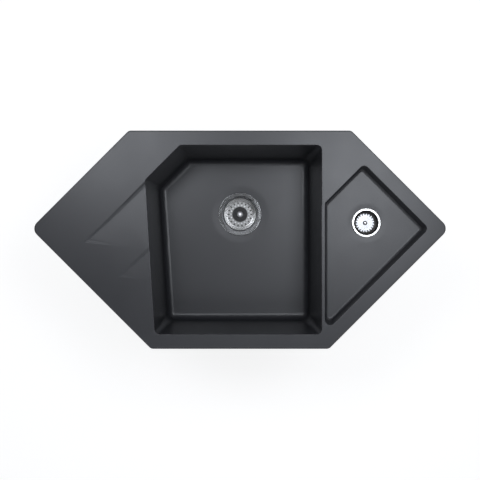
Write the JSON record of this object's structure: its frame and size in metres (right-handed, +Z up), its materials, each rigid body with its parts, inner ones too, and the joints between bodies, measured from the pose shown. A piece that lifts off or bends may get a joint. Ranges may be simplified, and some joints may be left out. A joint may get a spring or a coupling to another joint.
{
  "type": "corner kitchen sink",
  "caption": "Six-sided inset corner sink in dark composite with a deep bowl, a shallow drained tray and a stepped drainer, basket wastes, pipework, a bottle trap and fixing clips.",
  "frame": {"origin": "middle of the rim in plan, on the worktop that the rim's seal lies on", "axes": "+X to the right along the sink, seen from the front; +Y to its back edge; +Z up out of the worktop"},
  "size_m": [0.9798, 0.52, 0.497],
  "materials": {
    "composite": "matt, fine grain, anthracite",
    "seal_rubber": "matt black",
    "pressed_steel": "satin stainless steel",
    "polished_metal": "polished",
    "black_plastic": "dark, slightly satin",
    "white_plastic": "white moulded plastic",
    "nylon": "natural nylon",
    "zinc_steel": "zinc plated"
  },
  "bodies": {
    "sink": {"sink_body": "composite", "rim_seal": "seal_rubber", "main_flange_seal": "seal_rubber", "main_body_gasket": "seal_rubber", "tray_flange_seal": "seal_rubber", "tray_body_gasket": "seal_rubber", "flat_washers": "seal_rubber", "cone_washers": "seal_rubber", "main_waste_flange": "pressed_steel", "main_clamp_screw": "pressed_steel", "tray_waste_flange": "pressed_steel", "tray_clamp_screw": "pressed_steel", "main_waste_body": "white_plastic", "tray_waste_body": "white_plastic", "tee": "white_plastic", "link_pipe": "white_plastic", "trap_body": "white_plastic", "outlet_pipe": "white_plastic", "union_nuts": "white_plastic", "clip_dowels": "nylon", "clip_screws": "zinc_steel"},
    "basket": {"main_basket": "pressed_steel", "basket_hub": "black_plastic", "basket_knob": "polished_metal", "basket_stem": "pressed_steel", "basket_stopper": "seal_rubber"},
    "strainer": {"tray_strainer": "polished_metal", "strainer_knob": "polished_metal", "strainer_stem": "pressed_steel", "strainer_seal": "seal_rubber"},
    "cup": {"trap_cup": "white_plastic", "trap_cup_seal": "seal_rubber"},
    "claw_1": {"clip_claw_1": "zinc_steel"},
    "claw_2": {"clip_claw_2": "zinc_steel"},
    "claw_3": {"clip_claw_3": "zinc_steel"},
    "claw_4": {"clip_claw_4": "zinc_steel"},
    "claw_5": {"clip_claw_5": "zinc_steel"},
    "claw_6": {"clip_claw_6": "zinc_steel"},
    "claw_7": {"clip_claw_7": "zinc_steel"},
    "claw_8": {"clip_claw_8": "zinc_steel"}
  },
  "joints": [
    {"name": "basket_lift", "type": "slide", "parent": "sink", "child": "basket", "axis": [0, 0, 1], "range_m": [0, 0.25]},
    {"name": "strainer_lift", "type": "slide", "parent": "sink", "child": "strainer", "axis": [0, 0, 1], "range_m": [0, 0.08]},
    {"name": "trap_cup_drop", "type": "slide", "parent": "sink", "child": "cup", "axis": [0, 0, -1], "range_m": [0, 0.065]},
    {"name": "clip_1_swivel", "type": "hinge", "parent": "sink", "child": "claw_1", "pos_m": [-0.11, -0.2405, -0.0453], "axis": [0, 0, 1], "range_deg": [0, 90]},
    {"name": "clip_2_swivel", "type": "hinge", "parent": "sink", "child": "claw_2", "pos_m": [0.11, -0.2405, -0.0453], "axis": [0, 0, 1], "range_deg": [0, 90]},
    {"name": "clip_3_swivel", "type": "hinge", "parent": "sink", "child": "claw_3", "pos_m": [0.33741, -0.107, -0.0453], "axis": [0, 0, 1], "range_deg": [0, 90]},
    {"name": "clip_4_swivel", "type": "hinge", "parent": "sink", "child": "claw_4", "pos_m": [0.36391, 0.1335, -0.0453], "axis": [0, 0, 1], "range_deg": [0, 90]},
    {"name": "clip_5_swivel", "type": "hinge", "parent": "sink", "child": "claw_5", "pos_m": [0.12, 0.2405, -0.0453], "axis": [0, 0, 1], "range_deg": [0, 90]},
    {"name": "clip_6_swivel", "type": "hinge", "parent": "sink", "child": "claw_6", "pos_m": [-0.12, 0.2405, -0.0453], "axis": [0, 0, 1], "range_deg": [0, 90]},
    {"name": "clip_7_swivel", "type": "hinge", "parent": "sink", "child": "claw_7", "pos_m": [-0.36391, 0.1335, -0.0453], "axis": [0, 0, 1], "range_deg": [0, 90]},
    {"name": "clip_8_swivel", "type": "hinge", "parent": "sink", "child": "claw_8", "pos_m": [-0.33741, -0.107, -0.0453], "axis": [0, 0, 1], "range_deg": [0, 90]}
  ]
}
